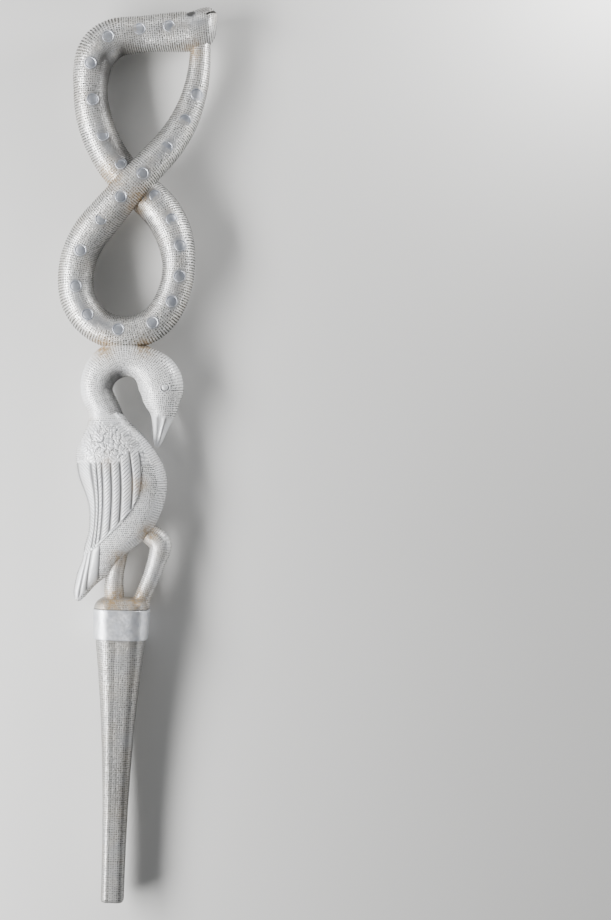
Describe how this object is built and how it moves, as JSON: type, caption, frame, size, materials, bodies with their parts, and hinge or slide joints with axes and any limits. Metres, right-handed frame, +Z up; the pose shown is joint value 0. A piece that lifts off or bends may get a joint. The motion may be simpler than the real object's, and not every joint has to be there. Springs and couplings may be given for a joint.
{
  "type": "ceremonial staff",
  "caption": "Carved ceremonial staff clad in stippled pale metal: a snake in a figure eight above a wading bird, on a collared, tapered grip.",
  "frame": {"origin": "centre of the bounding box at its base: the middle of the staff's outline, on the surface it lies on", "axes": "+X along the staff from the tip of the grip to the snake's head, +Y to the left of someone who looks down at its face, +Z up out of that face"},
  "size_m": [0.5504, 0.0914, 0.0339],
  "materials": {
    "stippled_sheet": "pale metal sheet, punched all over with fine dots, worn bright with brown dirt in the hollows",
    "polished_band": "smooth polished metal band, lightly scratched"
  },
  "bodies": {
    "root": {"staff": "stippled_sheet", "collar": "polished_band"}
  },
  "joints": []
}
